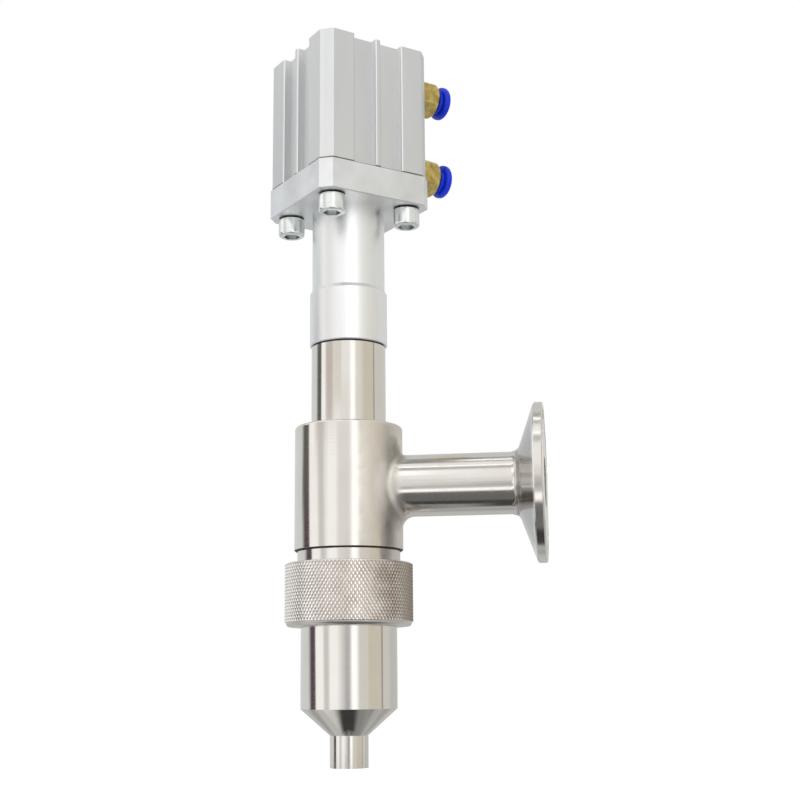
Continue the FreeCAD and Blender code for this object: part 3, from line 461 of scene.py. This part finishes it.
class NOZZLE_OT_union_nut(bpy.types.Operator):
    """Union nut with its rolled diamond knurl"""
    bl_idname = "nozzle.union_nut"
    bl_label = "Knurled union nut"

    bore_r = 16.35 * MM
    lip_r = 15.15 * MM
    lip_height = 3.5 * MM
    undercut = 0.04 * MM
    bottom_drop = 1.2 * MM
    top_drop = 0.45 * MM
    arc_steps = 7

    def execute(self, context):
        knurl, settings = context.scene.nozzle_knurl, context.scene.nozzle_finish
        low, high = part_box("union_nut")
        self.crest_r, self.z_low, self.z_high = high.x, low.z, high.z
        self.valley_r = self.crest_r - knurl.depth
        self.verts, self.faces, self.smooth, self.turned, self.shared = [], [], [], [], {}
        self.count = knurl.count
        self.z_first = self.z_low + knurl.plain_band
        self.row = (self.z_high - knurl.top_edge - self.z_first) / knurl.rows
        self.cut_diamonds(knurl)
        self.close_round(knurl)
        mesh = bpy.data.meshes.new("knurled_union_nut")
        mesh.from_pydata(self.verts, [], self.faces)
        mesh.polygons.foreach_set("use_smooth", self.smooth)
        mesh.polygons.foreach_set("material_index", self.turned)
        mesh.materials.append(self.knurled_steel(settings))
        # Stainless steel, turned: the ends and the plain band, smoother than the knurl
        mesh.materials.append(metal(
            "turned_stainless", (settings.steel, settings.steel_warm), (6, 6, 6), (60, 60, 0.3),
            (0.28, 0.36), 0.002))
        nut = bpy.data.objects.new("knurled_union_nut", mesh)
        context.scene.collection.objects.link(nut)
        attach(nut, "nut")
        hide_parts("union_nut")
        return {"FINISHED"}

    def point(self, step, row, radius):
        """Shared vertex at a place counted in half pitches and rows."""
        step %= 2 * self.count
        key = (round(step, 3), round(row, 3), radius)
        if key not in self.shared:
            angle = math.pi * step / self.count
            self.shared[key] = len(self.verts)
            self.verts.append((radius * math.cos(angle), radius * math.sin(angle),
                               self.z_first + row * self.row))
        return self.shared[key]

    def face(self, corners, smooth=False, turned=0):
        """Face of the knurl, or of the turned surfaces where turned is 1."""
        self.faces.append(corners)
        self.smooth.append(smooth)
        self.turned.append(turned)

    def cut_diamonds(self, knurl):
        """A flat-topped pyramid on every second point of a grid, halved at the first and last row."""
        top = knurl.worn_share
        for row in range(knurl.rows + 1):
            for step in range(2 * self.count):
                if (step + row) % 2:
                    continue
                around = [(1, 0), (0, 1), (-1, 0), (0, -1)]
                if row == 0:
                    around.pop(3)
                if row == knurl.rows:
                    around.pop(1)
                base = [self.point(step + i, row + k, self.valley_r) for i, k in around]
                crest = [self.point(step + i * top, row + k * top, self.crest_r) for i, k in around]
                self.face(crest)
                for j, (i, k) in enumerate(around):
                    n = (j + 1) % len(around)
                    if abs(i - around[n][0]) < 2:
                        self.face((base[j], base[n], crest[n], crest[j]))

    def end_outline(self, row, top):
        """Edge of the first or last row, in order round the nut."""
        outline = []
        for step in range(2 * self.count):
            if (step + row) % 2:
                outline.append(self.point(step, row, self.valley_r))
            else:
                outline.append(self.point(step - top, row, self.crest_r))
                outline.append(self.point(step + top, row, self.crest_r))
        return outline

    def close_round(self, knurl):
        """Turned ends, lip and bore, as rings that join the two edges of the knurl."""
        edge_r = self.valley_r - self.undercut
        rings = []
        for i in range(self.arc_steps + 1):
            a = math.pi / 2 * i / self.arc_steps
            rings.append((edge_r - self.bottom_drop * (1 - math.cos(a)),
                          self.z_first - knurl.plain_band * math.sin(a), i > 0))
        rings += [(self.lip_r, self.z_low, False), (self.lip_r, self.z_low + self.lip_height, False),
                  (self.bore_r, self.z_low + self.lip_height, False), (self.bore_r, self.z_high, False)]
        for i in range(self.arc_steps + 1):
            a = math.pi / 2 * (1 - i / self.arc_steps)
            rings.append((edge_r - self.top_drop * (1 - math.cos(a)),
                          self.z_high - knurl.top_edge * (1 - math.sin(a)), i > 0))
        first = self.end_outline(0, knurl.worn_share)
        last = self.end_outline(knurl.rows, knurl.worn_share)
        angles = [math.atan2(self.verts[i][1], self.verts[i][0]) for i in first]
        before = first
        for radius, z, smooth in rings:
            start = len(self.verts)
            self.verts += [(radius * math.cos(a), radius * math.sin(a), z) for a in angles]
            ring = list(range(start, len(self.verts)))
            self.join(before, ring, smooth)
            before = ring
        self.join(before, last, False)

    def join(self, upper, lower, smooth):
        """Turned band of faces between two rings with the same number of vertices."""
        for i in range(len(upper)):
            n = (i + 1) % len(upper)
            self.face((upper[i], lower[i], lower[n], upper[n]), smooth, 1)

    def knurled_steel(self, settings):
        """Stainless steel with a rolled knurl: burnished diamond tops in matt, valleys darker with soil and
        painted shade.
        """
        material, tree = empty_material("knurled_stainless")
        half_way = self.valley_r + 0.5 * (self.crest_r - self.valley_r)
        where = add(tree, "ShaderNodeTexCoord")
        flat = add(tree, "ShaderNodeVectorMath", {0: where.outputs["Object"], 1: (1, 1, 0)},
                   operation="MULTIPLY")
        radius = add(tree, "ShaderNodeVectorMath", {0: flat.outputs[0]}, operation="LENGTH")
        height = add(tree, "ShaderNodeMapRange", {
            "Value": radius.outputs["Value"], "From Min": half_way, "From Max": self.crest_r})
        cloud = grain_pattern(tree, (4, 4, 4), 3.0)
        # The valleys are darker than the tops: partly soil, partly painted shade in the knurl's recesses
        valley = add(tree, "ShaderNodeMix", {
            "Factor": cloud, 6: settings.knurl_valley, 7: settings.knurl_soil}, data_type="RGBA")
        colour = add(tree, "ShaderNodeMix", {
            "Factor": height.outputs["Result"], 6: valley.outputs[2], 7: settings.knurl_crest},
                     data_type="RGBA")
        # Painted shade: the side of the knurl below the branch is darker
        shade_below_branch = near_place(tree, (22, -4, 52), (17, 24, 40), 0.6)
        shaded_colour = add(tree, "ShaderNodeMix", {
            "Factor": shade_below_branch, 6: colour.outputs[2], 7: linear("B6ACA0")}, data_type="RGBA")
        gloss = add(tree, "ShaderNodeMapRange", {
            "Value": height.outputs["Result"], "To Min": 0.42, "To Max": 0.28})
        shader = add(tree, "ShaderNodeBsdfPrincipled", {
            "Base Color": shaded_colour.outputs[2], "Metallic": 1.0, "Roughness": gloss.outputs["Result"]})
        add(tree, "ShaderNodeOutputMaterial", {"Surface": shader.outputs["BSDF"]})
        return material


class NOZZLE_OT_sleeve(bpy.types.Operator):
    """Satin aluminium of the connecting sleeve"""
    bl_idname = "nozzle.sleeve"
    bl_label = "Connecting sleeve"

    gap = 0.5 * MM
    clear = 0.02 * MM
    inner_r = 10.55 * MM
    outer_r = 11.5 * MM
    steps = 96

    def execute(self, context):
        settings = context.scene.nozzle_finish
        # Aluminium 6061, finely turned and satin anodised: wide soft highlights with faint rings,
        # drawn 0.4 mm apart, coarser than the real 0.1 mm
        dress(("connecting_sleeve",), metal(
            "satin_anodised_aluminium", (settings.sleeve, settings.sleeve), (9, 9, 9), (60, 60, 0.4),
            (0.36, 0.44), 0.003))
        self.fill_gap_with_shade(context)
        return {"FINISHED"}

    def fill_gap_with_shade(self, context):
        """Near black ring in the gap below the sleeve: painted shade over the bonnet's thread."""
        z_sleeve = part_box("connecting_sleeve")[0].z
        high, low = z_sleeve - self.clear, z_sleeve - self.gap + self.clear
        middle, bulge = (low + high) / 2, self.outer_r + self.clear
        profile = ((self.inner_r, low), (self.outer_r, low), (bulge, middle), (self.outer_r, high),
                   (self.inner_r, high))
        count = len(profile)
        angles = [math.tau * i / self.steps for i in range(self.steps)]
        verts = [(radius * math.cos(a), radius * math.sin(a), z) for a in angles for radius, z in profile]
        faces = [(i * count + j, i * count + (j + 1) % count,
                  (i + 1) % self.steps * count + (j + 1) % count, (i + 1) % self.steps * count + j)
                 for i in range(self.steps) for j in range(count)]
        mesh = bpy.data.meshes.new("gap_shade_ring")
        mesh.from_pydata(verts, [], faces)
        # Painted shade in the gap: near black, dull and grainy
        mesh.materials.append(finish(
            "painted_gap_shade", (linear("161616"), linear("242322")), (1, 1, 1), (0.3, 0.3, 0.3),
            (0.6, 0.8), 0.01))
        shade_ring = bpy.data.objects.new("gap_shade_ring", mesh)
        context.scene.collection.objects.link(shade_ring)
        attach(shade_ring, "nozzle")


class NOZZLE_OT_air_cylinder(bpy.types.Operator):
    """Extruded barrel, milled flange and covers, and their snap rings"""
    bl_idname = "nozzle.air_cylinder"
    bl_label = "Air cylinder"

    def execute(self, context):
        settings = context.scene.nozzle_finish
        # Aluminium 6063, extruded and clear anodised: matt, with faint upright lines from the die,
        # and a grey line of painted shadow along the joint with the flange
        dress(("cylinder_body",), metal(
            "anodised_extruded_aluminium", (settings.extrusion, settings.extrusion_dark), (14, 14, 50),
            (0.5, 0.5, 90), (0.36, 0.46), 0.004, (
                ((0, 0, BARREL_FOOT), (ALL_ROUND, ALL_ROUND, 0.4), 0.3, linear("75736E"), 0.6),)))
        # Aluminium 6061, milled and clear anodised: finer and brighter than the extrusion, with a grey
        # line of painted shadow along the flange's joint with the barrel
        dress(("flange_plate", "front_cover", "rear_cover", "piston"), metal(
            "milled_anodised_aluminium", (settings.flange, settings.extrusion), (11, 11, 11),
            (1.2, 1.2, 0.8), (0.32, 0.42), 0.003, (
                ((0, 0, BARREL_FOOT), (ALL_ROUND, ALL_ROUND, 0.35), 0.3, linear("8A8884"), 0.6),)))
        # Spring steel, hardened and oiled: dark grey with a dull shine
        dress(("front_snap_ring", "rear_snap_ring", "grip_rings"), metal(
            "oiled_spring_steel", (linear("6A6A6C"), linear("58585A")), (3, 3, 3), (0.8, 0.8, 0.8),
            (0.28, 0.40), 0.002))
        return {"FINISHED"}


class NOZZLE_OT_screws(bpy.types.Operator):
    """Zinc-plated screws and nuts on black washers"""
    bl_idname = "nozzle.screws"
    bl_label = "Screws and washers"

    def execute(self, context):
        settings = context.scene.nozzle_finish
        # Steel, bright zinc plated: hard bluish reflections with a faint mottle
        dress(("cap_screws", "piston_nut", "coupling_nut"), metal(
            "zinc_plated_steel", (settings.zinc, linear("E6EAE8")), (2, 2, 2), (0.9, 0.9, 0.9),
            (0.14, 0.22), 0.002))
        # Steel, blackened: near black with a dull shine
        dress(("screw_washers",), metal(
            "blackened_steel", (linear("2C2C30"), linear("222226")), (2, 2, 2), (0.7, 0.7, 0.7),
            (0.40, 0.55), 0.002))
        return {"FINISHED"}


class NOZZLE_OT_air_fittings(bpy.types.Operator):
    """Brass push-in fittings with blue release rings"""
    bl_idname = "nozzle.air_fittings"
    bl_label = "Air fittings"

    def execute(self, context):
        settings = context.scene.nozzle_finish
        # Brass, turned and left bare: warm yellow with browner tarnish in clouds
        dress(("upper_fitting", "lower_fitting"), metal(
            "turned_brass", (settings.brass, settings.brass_tarnished), (2.5, 2.5, 2.5),
            (0.3, 0.9, 0.9), (0.16, 0.26), 0.001))
        # Acetal, injection moulded: dense blue with a soft waxy gloss
        dress(("upper_release_ring", "lower_release_ring"), finish(
            "moulded_acetal", (settings.ring_blue, settings.ring_blue_dark), (4, 4, 4),
            (0.7, 0.7, 0.7), (0.24, 0.30), 0.001, IOR=1.42))
        return {"FINISHED"}


class NOZZLE_OT_valve(bpy.types.Operator):
    """Ground rods, plug and bronze bush of the valve"""
    bl_idname = "nozzle.valve"
    bl_label = "Valve and rods"

    def execute(self, context):
        # Stainless steel, ground: bright with fine rings along the rod
        dress(("piston_rod", "valve_stem", "valve_plug"), metal(
            "ground_stainless", (linear("E0E0E0"), linear("D8D8D8")), (8, 8, 8), (60, 60, 0.3),
            (0.10, 0.18), 0.001))
        # Bronze, sintered and oiled: brown with a fine open grain
        dress(("rod_bush",), metal(
            "sintered_bronze", (linear("A47C4E"), linear("8E683E")), (1.5, 1.5, 1.5), (0.4, 0.4, 0.4),
            (0.40, 0.60), 0.01))
        return {"FINISHED"}


class NOZZLE_OT_seals(bpy.types.Operator):
    """Gaskets, guides, seals and bumpers"""
    bl_idname = "nozzle.seals"
    bl_label = "Seals and guides"

    def execute(self, context):
        # PTFE, turned: chalk white and waxy
        dress(("union_gasket", "gland_bush", "stem_guide", "wear_ring"), finish(
            "turned_ptfe", (linear("F0F0EE"), linear("E8E8E4")), (4, 4, 4), (60, 60, 0.4),
            (0.40, 0.50), 0.004, IOR=1.38))
        # Nitrile rubber, moulded: black with a dull sheen
        dress(("gland_seals", "gland_outer_seal", "front_cover_seal", "rear_cover_seal", "rod_seal",
               "piston_seal", "piston_bumpers", "plug_seal", "port_gaskets", "tube_seals"), finish(
            "moulded_nitrile_rubber", (linear("1C1C1C"), linear("262626")), (3, 3, 3),
            (0.5, 0.5, 0.5), (0.50, 0.65), 0.005, IOR=1.52))
        return {"FINISHED"}


SETTINGS = {
    "nozzle_finish": FinishSettings,
    "nozzle_knurl": KnurlSettings,
    "nozzle_studio": StudioSettings,
}
OPERATORS = (
    NOZZLE_OT_studio, NOZZLE_OT_wetted_steel, NOZZLE_OT_union_nut, NOZZLE_OT_sleeve,
    NOZZLE_OT_air_cylinder, NOZZLE_OT_screws, NOZZLE_OT_air_fittings, NOZZLE_OT_valve, NOZZLE_OT_seals,
)


class NOZZLE_PT_steps(bpy.types.Panel):
    """Lists the nozzle's settings and the steps that build it"""
    bl_idname = "NOZZLE_PT_steps"
    bl_label = "Filling nozzle"
    bl_space_type = "VIEW_3D"
    bl_region_type = "UI"
    bl_category = "Filling nozzle"

    def draw(self, context):
        for operator in OPERATORS:
            self.layout.operator(operator.bl_idname)
        for name, group in SETTINGS.items():
            box = self.layout.box()
            for setting in group.__annotations__:
                box.prop(getattr(context.scene, name), setting)


def register():
    for entry in (*SETTINGS.values(), *OPERATORS, NOZZLE_PT_steps):
        bpy.utils.register_class(entry)
    for name, group in SETTINGS.items():
        setattr(bpy.types.Scene, name, PointerProperty(type=group))


def unregister():
    for name in SETTINGS:
        delattr(bpy.types.Scene, name)
    for entry in reversed((*SETTINGS.values(), *OPERATORS, NOZZLE_PT_steps)):
        bpy.utils.unregister_class(entry)


def main():
    register()
    for operator in OPERATORS:
        getattr(bpy.ops.nozzle, operator.bl_idname.split(".")[1])()


if __name__ == "__main__":
    main()
